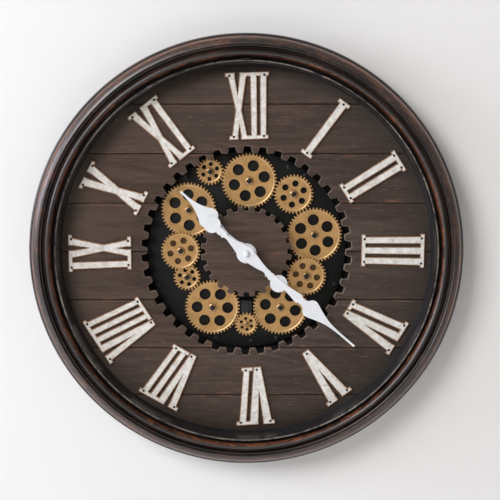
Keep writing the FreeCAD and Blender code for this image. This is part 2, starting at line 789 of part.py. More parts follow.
def numeral_shapes(word, height):
    """Polygons of one numeral: strokes, crossings and the serif strips that join them."""
    placed = numeral_letters(word)
    strip_share = serif_strip / height
    shapes = []
    top_breaks = []
    foot_breaks = []
    for letter, left, right, foot_left, foot_right in placed:
        middle = (left + right) / 2
        foot = (foot_left + foot_right) / 2
        if letter == "I":
            shapes.append([(left, 1), (right, 1), (foot_right, 0), (foot_left, 0)])
        if letter == "V":
            slit = letter_v_slit / 2
            notch = middle + (foot - middle) * slit_depth_share
            outline = [(left, 1), (middle - slit, 1), (middle - slit, 1 - strip_share)]
            outline += [(notch, 1 - slit_depth_share), (middle + slit, 1 - strip_share), (middle + slit, 1)]
            outline += [(right, 1), (foot_right, 0), (foot_left, 0)]
            shapes.append(outline)
            top_breaks.append((middle - slit, middle + slit))
            foot_breaks.append((foot_left, foot_right))
        if letter == "X":
            slit = letter_x_slit / 2
            low_slit = letter_x_foot_slit / 2
            waist = letter_x_waist / 2
            cross = foot + (middle - foot) * x_waist_share
            outline = [(left, 1), (middle - slit, 1), (middle - slit, 1 - strip_share)]
            outline += [(middle, 1 - x_slit_depth_share), (middle + slit, 1 - strip_share)]
            outline += [(middle + slit, 1), (right, 1)]
            outline += [(cross + waist, x_waist_share), (foot_right, 0), (foot + low_slit, 0)]
            outline += [(foot + low_slit, strip_share), (foot, x_foot_slit_share)]
            outline += [(foot - low_slit, strip_share), (foot - low_slit, 0), (foot_left, 0)]
            outline += [(cross - waist, x_waist_share)]
            shapes.append(outline)
            top_breaks.append((middle - slit, middle + slit))
            foot_breaks.append((foot - low_slit, foot + low_slit))
    shapes += strips(placed[0][1], placed[-1][2], top_breaks, 1 - strip_share, 1)
    first = placed[0]
    last = placed[-1]
    foot_start = first[3] if word[0] != "V" else first[4] + letter_gap
    foot_end = last[4] if word[-1] != "V" else last[3] - letter_gap
    if foot_end > foot_start:
        inner = [gap for gap in foot_breaks if gap[0] > foot_start and gap[1] < foot_end]
        shapes += strips(foot_start, foot_end, inner, 0, strip_share)
    return shapes


def strips(start, end, breaks, low, high):
    """Serif strips from end to end, left open at the breaks."""
    edges = [start - serif_reach]
    for left, right in breaks:
        edges += [left, right]
    edges.append(end + serif_reach)
    pairs = zip(edges[::2], edges[1::2])
    return [[(a, low), (b, low), (b, high), (a, high)] for a, b in pairs if b > a]


def build_numerals():
    """Twelve numerals glued on the dial, each set by hand a little off its hour."""
    for index, word in enumerate(numeral_words):
        bearing = numeral_bearings[index]
        inner = numeral_inner_radius - numeral_inner_drop * math.cos(math.radians(bearing))
        height = numeral_outer_radius - inner
        middle = polar((numeral_outer_radius + inner) / 2, bearing)
        solids = []
        stretch = numeral_width_shares[index]
        for shape in numeral_shapes(word, height):
            outline = [(across * stretch, share * height - height / 2) for across, share in shape]
            outline = turn_outline(outline, numeral_slants[index])
            outline = [(middle[0] + x, middle[1] + z) for x, z in outline]
            solids.append(slab(outline, dial_front, dial_front + numeral_thickness))
        whole = solids[0]
        if len(solids) > 1:
            whole = solids[0].fuse(solids[1:]).removeSplitter()
        save("numeral_" + str(index + 1), whole)


def main():
    os.makedirs("parts", exist_ok=True)
    train = gear_train()
    build_frame()
    build_hanger()
    build_dial()
    build_plate()
    build_gears(train)
    build_driver(train)
    build_pins(train)
    build_hands()
    build_movement()
    build_tray()
    build_numerals()


main()
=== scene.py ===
import bpy
import json
import math
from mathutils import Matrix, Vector


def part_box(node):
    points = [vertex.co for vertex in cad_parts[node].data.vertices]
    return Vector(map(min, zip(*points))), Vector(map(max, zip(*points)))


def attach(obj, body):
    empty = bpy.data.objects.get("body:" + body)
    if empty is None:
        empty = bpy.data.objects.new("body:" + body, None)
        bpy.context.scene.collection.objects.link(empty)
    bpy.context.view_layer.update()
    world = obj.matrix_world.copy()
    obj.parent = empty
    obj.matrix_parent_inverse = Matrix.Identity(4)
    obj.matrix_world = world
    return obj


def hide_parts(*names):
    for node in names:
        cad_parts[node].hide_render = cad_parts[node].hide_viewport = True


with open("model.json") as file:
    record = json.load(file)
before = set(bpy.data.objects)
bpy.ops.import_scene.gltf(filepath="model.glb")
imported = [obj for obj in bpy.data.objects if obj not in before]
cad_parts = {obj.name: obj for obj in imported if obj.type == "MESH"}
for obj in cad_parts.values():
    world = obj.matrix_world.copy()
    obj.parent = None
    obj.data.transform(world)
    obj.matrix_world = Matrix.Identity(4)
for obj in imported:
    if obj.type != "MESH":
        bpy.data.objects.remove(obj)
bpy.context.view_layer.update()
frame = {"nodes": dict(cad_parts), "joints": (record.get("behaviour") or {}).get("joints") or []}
mm = 0.001
faceOn = (math.radians(90), 0, 0)  # turns a flat primitive to face the front
print("frame loaded:", len(frame["nodes"]), "nodes")


# Selecting and editing

def deselectAll():
    bpy.ops.object.select_all(action="DESELECT")


def selectOnly(*pieces):
    deselectAll()
    for piece in pieces:
        piece.select_set(True)
    bpy.context.view_layer.objects.active = pieces[0]


def selectWhere(piece, wantFaces, test):
    # marks faces or vertices in object mode, then opens edit mode on them
    selectOnly(piece)
    bpy.ops.object.mode_set(mode="EDIT")
    bpy.ops.mesh.select_mode(type="FACE" if wantFaces else "VERT")
    bpy.ops.mesh.select_all(action="DESELECT")
    bpy.ops.object.mode_set(mode="OBJECT")
    for item in (piece.data.polygons if wantFaces else piece.data.vertices):
        item.select = test(item)
    bpy.ops.object.mode_set(mode="EDIT")


def closeEdit():
    bpy.ops.object.mode_set(mode="OBJECT")


def closeOutwards():
    # leaves edit mode with all faces pointing out
    bpy.ops.mesh.select_all(action="SELECT")
    bpy.ops.mesh.normals_make_consistent(inside=False)
    closeEdit()


def settle(piece):
    # the place goes into the mesh, as a CAD node has it
    selectOnly(piece)
    bpy.ops.object.transform_apply(location=True, rotation=True, scale=True)
    return piece


def applyModifier(piece, kind, **settings):
    selectOnly(piece)
    modifier = piece.modifiers.new(kind.title(), kind)
    for name, value in settings.items():
        setattr(modifier, name, value)
    bpy.ops.object.modifier_apply(modifier=modifier.name)
    return piece


def cutAway(piece, cutter, operation="DIFFERENCE"):
    applyModifier(piece, "BOOLEAN", object=cutter, operation=operation, solver="EXACT")
    bpy.data.objects.remove(cutter)
    return piece


def roundEdges(piece, width, segments=2, angle=30):
    return applyModifier(
        piece, "BEVEL", width=width * mm, segments=segments, limit_method="ANGLE",
        angle_limit=math.radians(angle), use_clamp_overlap=True)


def addObject(name, data):
    piece = bpy.data.objects.new(name, data)
    bpy.context.scene.collection.objects.link(piece)
    return piece


def joinPieces(pieces):
    selectOnly(*pieces)
    bpy.ops.object.join()
    return bpy.context.view_layer.objects.active


def copyPiece(piece, name):
    twin = piece.copy()
    twin.data = piece.data.copy()
    twin.name = name
    bpy.context.scene.collection.objects.link(twin)
    return twin


def copyNode(node):
    # a CAD node's loose triangles become one mesh with flat faces
    piece = copyPiece(frame["nodes"][node], node + "Looks")
    piece.parent = None
    for key in list(piece.keys()):
        del piece[key]
    piece.data.materials.clear()
    selectWhere(piece, False, lambda vertex: True)
    bpy.ops.mesh.remove_doubles(threshold=0.002 * mm)
    bpy.ops.mesh.dissolve_limited(angle_limit=math.radians(0.6))
    closeEdit()
    return piece


def lifts(node):
    # distance of a node's back and front from the wall
    low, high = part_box(node)
    return -high.y / mm, -low.y / mm


def finishPiece(piece, name, body, materials, replaced=(), smooth=30):
    piece.name = name
    piece.data.name = name
    settle(piece)
    for material in materials:
        piece.data.materials.append(material)
    bpy.ops.object.shade_smooth_by_angle(angle=math.radians(smooth))
    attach(piece, body)
    if replaced:
        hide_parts(*replaced)
    return piece


def pieceName(node):
    # gear_big_top becomes gearBigTop
    first, *others = node.split("_")
    return first + "".join(word.title() for word in others)


def softNode(node, body, material, width, segments=2, angle=40):
    # a copy of the CAD node with its edges broken
    piece = roundEdges(copyNode(node), width, segments, angle)
    return finishPiece(piece, pieceName(node), body, [material], [node])


# Primitives at their place, in millimetres on the dial

def addDisc(radius, back, front, x=0, z=0, sides=64):
    deselectAll()
    bpy.ops.mesh.primitive_cylinder_add(
        vertices=sides, radius=radius * mm, depth=(front - back) * mm,
        location=(x * mm, -(back + front) / 2 * mm, z * mm), rotation=faceOn)
    return settle(bpy.context.object)


def addBlock(width, height, back, front, x=0, z=0):
    deselectAll()
    bpy.ops.mesh.primitive_cube_add(
        size=1, location=(x * mm, -(back + front) / 2 * mm, z * mm),
        scale=(width * mm, (front - back) * mm, height * mm))
    return settle(bpy.context.object)


def onCircle(radius, turn):
    # x and z of a place on a circle round the dial's axis, clockwise from twelve
    return radius * math.sin(turn), radius * math.cos(turn)


def spinProfile(profile, steps=48, x=0, z=0):
    # a vertex is extruded along radii and lifts, then spun round the dial's axis
    deselectAll()
    radius, lift = profile[0]
    bpy.ops.mesh.primitive_circle_add(
        vertices=3, radius=mm, location=((x + radius) * mm, -lift * mm, z * mm))
    piece = bpy.context.object
    bpy.ops.object.mode_set(mode="EDIT")
    bpy.ops.mesh.select_mode(type="VERT")
    bpy.ops.mesh.select_all(action="SELECT")
    bpy.ops.mesh.merge(type="CENTER")
    for start, end in zip(profile, profile[1:]):
        step = ((end[0] - start[0]) * mm, -(end[1] - start[1]) * mm, 0)
        bpy.ops.mesh.extrude_vertices_move(TRANSFORM_OT_translate={"value": step})
    bpy.ops.mesh.select_all(action="SELECT")
    bpy.ops.mesh.spin(steps=steps, angle=math.radians(360), center=(x * mm, 0, z * mm), axis=(0, 1, 0))
    bpy.ops.mesh.select_all(action="SELECT")
    bpy.ops.mesh.remove_doubles(threshold=0.001 * mm)
    closeOutwards()
    return settle(piece)


def bow(start, end, height, steps):
    # a shallow arc between two profile points, bowed out on its left
    across = (end[0] - start[0], end[1] - start[1])
    length = math.hypot(*across)
    side = (-across[1] / length, across[0] / length)
    points = []
    for k in range(steps + 1):
        share = k / steps
        lean = height * 4 * share * (1 - share)
        points.append((start[0] + across[0] * share + side[0] * lean,
                       start[1] + across[1] * share + side[1] * lean))
    return points


# Materials

def toLinear(hexColour):
    channels = [int(hexColour[k:k + 2], 16) / 255 for k in (1, 3, 5)]
    linear = [c / 12.92 if c <= 0.04045 else ((c + 0.055) / 1.055) ** 2.4 for c in channels]
    return (*linear, 1)


def addNode(tree, kind, values=None, links=None, stops=None, **settings):
    node = tree.nodes.new(kind)
    for name, value in settings.items():
        setattr(node, name, value)
    for socket, value in (values or {}).items():
        node.inputs[socket].default_value = value
    for socket, source in (links or {}).items():
        tree.links.new(source, node.inputs[socket])
    if stops:
        ramp = node.color_ramp
        while len(ramp.elements) < len(stops):
            ramp.elements.new(0.5)
        for element, (place, colour) in zip(ramp.elements, stops):
            element.position = place
            element.color = toLinear(colour) if isinstance(colour, str) else (colour, colour, colour, 1)
    return node


def newMaterial(name, **shader):
    material = bpy.data.materials.new(name)
    material.use_nodes = True
    surface = material.node_tree.nodes["Principled BSDF"]
    for socket, value in shader.items():
        socketName = socket.replace("_", " ")
        surface.inputs[socketName].default_value = toLinear(value) if isinstance(value, str) else value
    return material, material.node_tree


def finishMaterial(material, colour, height, strength, depth):
    # colour and relief reach the shader, the relief's depth in millimetres
    tree = material.node_tree
    surface = tree.nodes["Principled BSDF"]
    bump = addNode(tree, "ShaderNodeBump", {"Strength": strength, "Distance": depth * mm}, {"Height": height})
    tree.links.new(colour, surface.inputs["Base Color"])
    tree.links.new(bump.outputs["Normal"], surface.inputs["Normal"])
    return material


def dialPlace(tree):
    # Object coordinates: one by one, flat on the dial, and as a radius from its axis
    place = addNode(tree, "ShaderNodeTexCoord")
    axes = addNode(tree, "ShaderNodeSeparateXYZ", links={"Vector": place.outputs["Object"]})
    flat = addNode(tree, "ShaderNodeCombineXYZ", links={"X": axes.outputs["X"], "Z": axes.outputs["Z"]})
    radius = addNode(tree, "ShaderNodeVectorMath", links={0: flat.outputs[0]}, operation="LENGTH")
    return axes, flat, radius


def grainPatterns(tree, source, grains, unit=(1000, 1000, 1000)):
    # each grain has its size in millimetres along three axes, whose units are so many millimetres
    # long, then its detail, roughness and distortion; inf is the same all along an axis
    patterns = {}
    for name, (size, detail, roughness, distortion) in grains.items():
        scale = [length / side for length, side in zip(unit, size)]
        stretch = addNode(tree, "ShaderNodeMapping", {"Scale": scale}, {"Vector": source})
        noise = addNode(tree, "ShaderNodeTexNoise", {
            "Scale": 1.0, "Detail": detail, "Roughness": roughness, "Distortion": distortion},
            {"Vector": stretch.outputs[0]})
        patterns[name] = noise.outputs["Fac"]
    return patterns


def stainedPine(name, looks):
    # pine boards, planed and brushed, with dark stain: soft streaks along the board, dark
    # pores and pale scratches between them, and a rubbed reddish line along each seam
    material, tree = newMaterial(name, Roughness=looks["roughness"], Specular_IOR_Level=looks["shine"])
    axes, flat, radius = dialPlace(tree)
    rows = addNode(tree, "ShaderNodeMath", {1: looks["pitch"] * mm}, {0: axes.outputs["Z"]},
                   operation="DIVIDE")
    row = addNode(tree, "ShaderNodeMath", links={0: rows.outputs[0]}, operation="FLOOR")
    shift = addNode(tree, "ShaderNodeMath", {1: looks["rowShift"]}, {0: row.outputs[0]}, operation="MULTIPLY")
    along = addNode(tree, "ShaderNodeMath", links={0: axes.outputs["X"], 1: shift.outputs[0]},
                    operation="ADD")
    board = addNode(tree, "ShaderNodeCombineXYZ", links={
        "X": along.outputs[0], "Y": axes.outputs["Y"], "Z": axes.outputs["Z"]})
    patterns = grainPatterns(tree, board.outputs[0], looks["grains"])
    mottle = addNode(tree, "ShaderNodeMix", {0: 0.5}, {2: patterns["streaks"], 3: patterns["clouds"]})
    # painted light: the boards are painted lighter to the left and upwards and darker to the right and down,
    # as the light falls from the upper left
    paintedLightTilt = addNode(tree, "ShaderNodeVectorMath", {1: looks["paintedLightTilt"]}, {0: flat.outputs[0]},
                      operation="DOT_PRODUCT")
    tone = addNode(tree, "ShaderNodeMath", links={0: mottle.outputs[0], 1: paintedLightTilt.outputs["Value"]},
                   operation="ADD")
    stain = addNode(tree, "ShaderNodeValToRGB", links={"Fac": tone.outputs[0]}, stops=looks["tones"])
    # dark pores, fine pale scratches of the brush between them, rubbed patches for the seams
    marks = {}
    for mark, (pattern, start, end, share) in looks["marks"].items():
        marks[mark] = addNode(tree, "ShaderNodeMapRange", {
            "From Min": start, "From Max": end, "To Max": share}, {"Value": patterns[pattern]})
    rowShare = addNode(tree, "ShaderNodeMath", links={0: rows.outputs[0]}, operation="FRACT")
    fromMiddle = addNode(tree, "ShaderNodeMath", {1: 0.5}, {0: rowShare.outputs[0]}, operation="SUBTRACT")
    nearSeam = addNode(tree, "ShaderNodeMath", links={0: fromMiddle.outputs[0]}, operation="ABSOLUTE")
    seamFade = addNode(tree, "ShaderNodeMapRange", {
        "From Min": 0.5 - looks["seamWidth"] / looks["pitch"], "From Max": looks["seamCore"]},
        {"Value": nearSeam.outputs[0]})
    rub = addNode(tree, "ShaderNodeMath", links={0: seamFade.outputs[0], 1: marks["rub"].outputs[0]},
                  operation="MULTIPLY")
    # painted shade: the boards are painted darker round the rim, towards the hoop, where its shade falls
    paintedRimShade = addNode(tree, "ShaderNodeMapRange", {
        "From Min": looks["rimShadeFrom"] * mm, "From Max": looks["rimTo"] * mm, "To Max": looks["rimShadeShare"]},
        {"Value": radius.outputs["Value"]}, interpolation_type="SMOOTHSTEP")
    # the last layer, rim, is the painted shade round the rim
    layers = {"pore": marks["pore"], "scratch": marks["scratch"], "rub": rub, "rim": paintedRimShade}
    shade = stain.outputs["Color"]
    for colour, mask in layers.items():
        layer = addNode(tree, "ShaderNodeMix", {7: toLinear(looks[colour])}, {0: mask.outputs[0], 6: shade},
                        data_type="RGBA")
        shade = layer.outputs[2]
    return finishMaterial(material, shade, patterns["streaks"], looks["relief"], looks["bump"])


def ringLacquer(name, looks):
    # turned hardwood ring, dark lacquer rubbed back by hand: the high rounds show copper
    # brown in flame-like streaks, the hollows stay near black under an even gloss
    material, tree = newMaterial(
        name, Roughness=looks["roughness"], Coat_Weight=looks["coat"], Coat_Roughness=looks["coatRoughness"])
    axes, flat, radius = dialPlace(tree)
    heading = addNode(tree, "ShaderNodeVectorMath", links={0: flat.outputs[0]}, operation="NORMALIZE")
    turn = addNode(tree, "ShaderNodeSeparateXYZ", links={"Vector": heading.outputs[0]})
    depth = addNode(tree, "ShaderNodeMath", links={0: radius.outputs["Value"], 1: axes.outputs["Y"]},
                    operation="ADD")
    wrap = addNode(tree, "ShaderNodeCombineXYZ", links={
        "X": turn.outputs["X"], "Y": turn.outputs["Z"], "Z": depth.outputs[0]})
    patterns = grainPatterns(tree, wrap.outputs[0], looks["grains"], (looks["radius"], looks["radius"], 1000))
    colour = addNode(tree, "ShaderNodeValToRGB", links={"Fac": patterns["patches"]}, stops=looks["tones"])
    first, last = looks["rubSpan"]
    across = addNode(tree, "ShaderNodeMapRange", {"From Min": first * mm, "From Max": last * mm},
                     {"Value": radius.outputs["Value"]})
    stops = [((at - first) / (last - first), share) for at, share in looks["rubs"]]
    high = addNode(tree, "ShaderNodeValToRGB", links={"Fac": across.outputs[0]}, stops=stops)
    # the more a place was rubbed, the more of its grain shows the rub colour: copper on the ring, on the
    # hoop's lip a pale colour that is partly a painted highlight
    ease = addNode(tree, "ShaderNodeMath", {1: looks["ease"]}, {0: high.outputs["Color"]},
                   operation="MULTIPLY")
    bared = addNode(tree, "ShaderNodeMath", links={0: patterns["flames"], 1: ease.outputs[0]},
                    operation="ADD")
    start, end = looks["wear"]
    wear = addNode(tree, "ShaderNodeMapRange", {"From Min": start, "From Max": end},
                   {"Value": bared.outputs[0]})
    start, end, least = looks["uneven"]
    uneven = addNode(tree, "ShaderNodeMapRange", {"From Min": start, "From Max": end, "To Min": least},
                     {"Value": patterns["patches"]})
    rub = addNode(tree, "ShaderNodeMath", links={0: wear.outputs[0], 1: uneven.outputs[0]},
                  operation="MULTIPLY")
    mixed = addNode(tree, "ShaderNodeMix", {7: toLinear(looks["rubAndHighlight"])},
                    {0: rub.outputs[0], 6: colour.outputs["Color"]}, data_type="RGBA")
    return finishMaterial(material, mixed.outputs[2], patterns["flames"], looks["relief"], looks["bump"])


def scorchedPaint(name, looks):
    # board cut numerals, brushed white and scorched at the rim: chalky patches, tan line round each
    material, tree = newMaterial(name, Roughness=looks["roughness"])
    place = addNode(tree, "ShaderNodeTexCoord")
    patterns = grainPatterns(tree, place.outputs["Object"], looks["grains"])
    colour = addNode(tree, "ShaderNodeValToRGB", links={"Fac": patterns["patches"]}, stops=looks["tones"])
    edge = addNode(tree, "ShaderNodeAttribute", attribute_name="scorch")
    start, end, least, most = looks["frayed"]
    frayed = addNode(tree, "ShaderNodeMapRange", {
        "From Min": start, "From Max": end, "To Min": least, "To Max": most}, {"Value": patterns["fray"]})
    burn = addNode(tree, "ShaderNodeMath", links={0: edge.outputs["Fac"], 1: frayed.outputs[0]},
                   operation="MULTIPLY", use_clamp=True)
    burnt = addNode(tree, "ShaderNodeMix", {7: toLinear(looks["scorch"])},
                    {0: burn.outputs[0], 6: colour.outputs["Color"]}, data_type="RGBA")
    return finishMaterial(material, burnt.outputs[2], patterns["patches"], looks["relief"], looks["bump"])


def speckled(name, looks, **shader):
    # even finish with a fine mottle in colour and relief
    material, tree = newMaterial(name, **shader)
    place = addNode(tree, "ShaderNodeTexCoord")
    grit = ([looks["grit"]] * 3, looks.get("detail", 3.0), 0.5, 0)
    mottle = grainPatterns(tree, place.outputs["Object"], {"grit": grit})["grit"]
    colour = addNode(tree, "ShaderNodeValToRGB", links={"Fac": mottle}, stops=looks["tones"])
    return finishMaterial(material, colour.outputs["Color"], mottle, looks.get("relief", 0.2), looks["bump"])


dialLooks = {
    "pitch": 68.0, "rowShift": 0.73, "roughness": 0.6, "shine": 0.25, "bump": 0.35, "relief": 0.35,
    "grains": {
        "streaks": ((70.0, 1.9, 1.9), 5.0, 0.62, 0.5), "clouds": ((130.0, 21.0, 21.0), 3.0, 0.5, 1.2),
        "pores": ((16.0, 1.3, 1.3), 2.0, 0.5, 0), "patches": ((34.0, math.inf, 2.4), 4.0, 0.65, 0)},
    "marks": {
        "pore": ("pores", 0.6, 0.74, 0.45), "scratch": ("pores", 0.38, 0.28, 0.5),
        "rub": ("patches", 0.54, 0.66, 1.0)},
    # the rim entries paint shade: the boards darken round the rim by the hoop, and rim is the colour of that
    # painted shade
    "seamWidth": 8.0, "seamCore": 0.497, "rimShadeFrom": 222.0, "rimTo": 262.0, "rimShadeShare": 0.6,
    # paintedLightTilt paints the boards lighter towards the upper left, where the light comes from
    "paintedLightTilt": (-0.46, 0, 0.13), "tones": [(0.36, "#392e27"), (0.5, "#463831"), (0.64, "#55443a")],
    "pore": "#2a1f19", "scratch": "#7d5f4d", "rub": "#835a45", "rim": "#2a2925",
}
discLooks = {
    **dialLooks, "rowShift": 1.31, "tones": [(0.36, "#3e3129"), (0.5, "#4d3d35"), (0.64, "#5f4c42")],
}
ringLooks = {
    "radius": 283.0, "roughness": 0.4, "coat": 0.7, "coatRoughness": 0.28, "bump": 0.3, "relief": 0.4,
    "grains": {
        "flames": ((13.0, 13.0, 1.5), 5.0, 0.6, 1.0), "patches": ((60.0, 60.0, 7.0), 3.0, 0.55, 0)},
    "tones": [(0.38, "#15110f"), (0.52, "#221b18"), (0.66, "#3a2b24")], "rubAndHighlight": "#80482c",
    "ease": 0.39, "wear": (0.78, 0.9), "uneven": (0.34, 0.62, 0.3), "rubSpan": (254.0, 302.0),
    "rubs": [
        (256, 0.0), (267.4, 0.2), (269.2, 0.95), (271.4, 0.9), (272.6, 0.4), (275.4, 0.3), (276.6, 0.75),
        (278.0, 0.6), (279.0, 0.1), (280.2, 0.0), (281.8, 0.6), (284.4, 0.5), (286.6, 0.66), (291.0, 0.72),
        (294.0, 0.9), (295.9, 1.0), (296.5, 0.0), (297.6, 0.55), (298.8, 0.45), (300.0, 0.4)],
}
# the hoop's lip is painted a pale greyish line all round: partly rubbed lacquer, partly a painted highlight
# along the lip
hoopLooks = {
    **ringLooks, "rubAndHighlight": "#a39488", "tones": [(0.38, "#151516"), (0.52, "#1d1d1f"), (0.66, "#272729")],
    "bump": 0.1, "rubs": [(256, 0.0), (261.8, 0.0), (262.4, 1.0), (263.6, 1.0), (264.2, 0.0)],
}
numeralLooks = {
    "roughness": 0.55, "bump": 0.2, "relief": 0.3, "scorch": "#94693f", "frayed": (0.3, 0.7, 0.55, 1.25),
    "grains": {"patches": ((7.0, 7.0, 7.0), 4.0, 0.6, 0.8), "fray": ((3.0, 3.0, 3.0), 2.0, 0.5, 0)},
    "tones": [(0.32, "#c4beb5"), (0.5, "#dad6cf"), (0.66, "#e8e5e0")],
}

pineBoards = stainedPine("StainedPineBoards", dialLooks)
pineDisc = stainedPine("StainedPineDisc", discLooks)
# sawn edge of the boards: painted lighter and duller than the face, a painted highlight for the cut walls
# that catch the light
pineEdgeHighlight = speckled("SawnPineEdgeHighlight", {
    "grit": 2.5, "bump": 0.3, "tones": [(0.35, "#5e5046"), (0.65, "#867565")]}, Roughness=0.75)
# stain that ran into the joint between two boards: dark and dull
seamStain = speckled("DarkSeamStain", {
    "grit": 6.0, "bump": 0.1, "tones": [(0.4, "#1e1714"), (0.62, "#41302a")]}, Roughness=0.8)
ringFinish = ringLacquer("RubbedLacquerRing", ringLooks)
hoopFinish = ringLacquer("DarkLacquerHoop", hoopLooks)
numeralPaint = scorchedPaint("ScorchedWhitePaint", numeralLooks)
# brass-coloured metal sheet, satin sprayed: an even golden sheen with no brush lines
gearBrass = speckled("SatinBrassSheet", {
    "grit": 9.0, "bump": 0.02, "relief": 0.05, "tones": [(0.35, "#b38a54"), (0.65, "#c59a63")]},
    Metallic=0.45, Roughness=0.45)
# spun brass bush: browner and shinier than the wheels
hubBrass = speckled("SpunBrassBush", {
    "grit": 6.0, "bump": 0.02, "relief": 0.05, "tones": [(0.35, "#ab875c"), (0.65, "#cca87c")]},
    Metallic=0.75, Roughness=0.27)
# brass of the step: painted paler than the wheels, a painted highlight, and shinier, so that a soft bright
# line shows where it faces the light
stepBrassHighlight = speckled("TurnedBrassStepHighlight", {
    "grit": 9.0, "bump": 0.02, "relief": 0.05, "tones": [(0.35, "#c2a172"), (0.65, "#d6b98c")]},
    Metallic=0.6, Roughness=0.42)
# brass of the pinions behind the front wheels, painted dark brown and nearly dull: painted shade for their
# faces seen down the wheels' holes
pinionBrassShade = speckled("DarkBrassPinionShade", {
    "grit": 3.0, "bump": 0.05, "tones": [(0.35, "#36250f"), (0.65, "#583d1e")]}, Metallic=0.4, Roughness=0.55)
# blackened steel: near black with a soft shine
darkSteel = speckled("BlackenedSteel", {
    "grit": 1.5, "bump": 0.02, "tones": [(0.35, "#131211"), (0.65, "#211e1c")]}, Metallic=0.3, Roughness=0.42)
# sheet steel, black powder coat: soft grey sheen over an orange-peel skin
plateCoat = speckled("BlackPowderCoat", {
    "grit": 1.2, "bump": 0.05, "relief": 0.15, "tones": [(0.35, "#0c0c0c"), (0.65, "#131312")]},
    Roughness=0.6, Specular_IOR_Level=0.22)
# dull black for the board's front and the dial's backing: painted shade, so the window's notches beyond the
# plate read deep dark and its teeth stand out
paintedShadeBlack = speckled("DullBlackPaintedShade", {
    "grit": 2.0, "bump": 0.1, "tones": [(0.35, "#0b0b0c"), (0.65, "#101011")]}, Roughness=0.85)
# fibreboard, pressed and sanded: tan with flecks, drawn a little coarse so that they show
rawBoard = speckled("SandedFibreboard", {
    "grit": 2.6, "bump": 0.1, "detail": 6.0,
    "tones": [(0.36, "#8b7253"), (0.5, "#9b8161"), (0.64, "#aa906e")]}, Roughness=0.8)
# aluminium sheet, white enamel: clean and bright with a low gloss
handEnamel = speckled("WhiteEnamelSheet", {
    "grit": 14.0, "bump": 0.02, "relief": 0.05, "tones": [(0.3, "#dfe1e3"), (0.7, "#e8eaec")]},
    Roughness=0.42)
# ABS, moulded with a fine spark-eroded skin
mouldedBlack = speckled("MouldedBlackAbs", {
    "grit": 0.8, "bump": 0.03, "tones": [(0.35, "#121213"), (0.65, "#1a1a1b")]}, Roughness=0.5)
# steel, bright zinc plate: cool grey with faint crystal patches
zincPlate = speckled("BrightZincPlate", {
    "grit": 4.0, "bump": 0.02, "tones": [(0.35, "#a9adb1"), (0.65, "#c4c7ca")]}, Metallic=0.9, Roughness=0.3)
# brass rod, turned and left bare: golden with a clear shine
brightBrass = speckled("TurnedBrass", {
    "grit": 5.0, "bump": 0.02, "tones": [(0.35, "#b08d4e"), (0.65, "#c7a35f")]}, Metallic=0.9, Roughness=0.3)
# printed film shrunk on a dry cell: smooth and plain
cellFilm = speckled("ShrunkFilmGreen", {
    "grit": 20.0, "bump": 0.01, "tones": [(0.35, "#2c4a43"), (0.65, "#335249")]}, Roughness=0.3)
print("materials ready:", len(bpy.data.materials))


# Ring frame and the hoop inside it

ringShape = {
    "steps": 256, "inner": 266.1, "outer": 300.0, "edge": 1.2, "hoopInner": 256.8, "hoopOuter": 265.8,
    "pocketWidth": 12.0, "pocketHeight": 24.0, "pocketDepth": 10.0, "pocketAt": 273.0,
}


def modelRing():
    inner, outer, edge = ringShape["inner"], ringShape["outer"], ringShape["edge"]
    back = lifts("frame_ring")[0]
    profile = [(inner, back), (outer - edge, back), (outer, back + edge), (outer, 40.6)]
    profile += bow((outer, 42.2), (297.4, 46.4), -0.7, 4)  # small outer lip
    profile += [(296.6, 46.2), (296.2, 48.6)]
    profile += bow((296.2, 48.2), (286.0, 57.4), -1.5, 12)  # broad band, sloping outwards
    profile += bow((285.6, 57.4), (284.2, 54.6), -0.4, 4)
    profile += bow((283.8, 53.8), (281.9, 52.6), -0.5, 4)  # fine ridge
    profile += [(281.3, 49.4), (280.6, 47.5), (279.8, 47.5)]
    profile += bow((279.5, 49.6), (267.7, 49.6), -8.6, 16)  # round bead
    profile += [(267.3, 47.0), (inner, 46.4), (inner, back)]
    # the pocket leaves room for a screw head behind the hanger
    pocket = addBlock(ringShape["pocketWidth"], ringShape["pocketHeight"], 0, ringShape["pocketDepth"],
                      z=ringShape["pocketAt"])
    return cutAway(spinProfile(profile, ringShape["steps"]), pocket)


def modelHoop():
    inner, outer = ringShape["hoopInner"], ringShape["hoopOuter"]
    back = lifts("inner_bezel")[0]
    profile = [(inner, back), (outer, back), (264.6, 52.0)]
    profile += bow((264.2, 55.8), (260.6, 56.6), 2.2, 6)  # thin lip
    profile += [(260.3, 54.8), (257.3, back + ringShape["edge"]), (inner, back)]
    return spinProfile(profile, ringShape["steps"])


finishPiece(modelRing(), "ringFrame", "clock_case", [ringFinish], ["frame_ring"], smooth=40)
finishPiece(modelHoop(), "innerHoop", "clock_case", [hoopFinish], ["inner_bezel"], smooth=40)
print("ring and hoop done")


# Boards of the dial, the toothed disc and the numerals

boardShape = {"edge": 0.8, "sideLean": 0.8, "jointLean": 0.999, "windowReach": 168.0}


def modelBoards(node, name, stain):
    # sawn edges near the window and round the disc are painted light, a painted highlight; the joints are
    # stained
    board = roundEdges(copyNode(node), boardShape["edge"], 1)
    for face in board.data.polygons:
        face.material_index = 0
        if abs(face.normal.y) < boardShape["sideLean"]:
            near = math.hypot(face.center.x, face.center.z) < boardShape["windowReach"] * mm
            face.material_index = 1 if near and abs(face.normal.z) < boardShape["jointLean"] else 2
    finishPiece(board, name, "clock_case", [stain, pineEdgeHighlight, seamStain], [node])


for place in range(1, 9):
    modelBoards("dial_plank_" + str(place), "plank" + str(place), pineBoards)
for side in ("upper", "lower"):
    modelBoards("centre_disc_" + side, side + "Disc", pineDisc)
print("boards done")

numeralShape = {
    "edge": 0.3, "scorchWidth": 1.5, "pinRadius": 1.75, "pinStand": 0.35, "pinInset": 6.4, "pinDrop": 4.2,
    "cornerReach": 3.5,
    "slants": [36.7, 58.0, 90.5, 121.0, 143.5, 176.5, 209.2, 237.9, 269.6, 298.0, 321.8, 358.1],
}


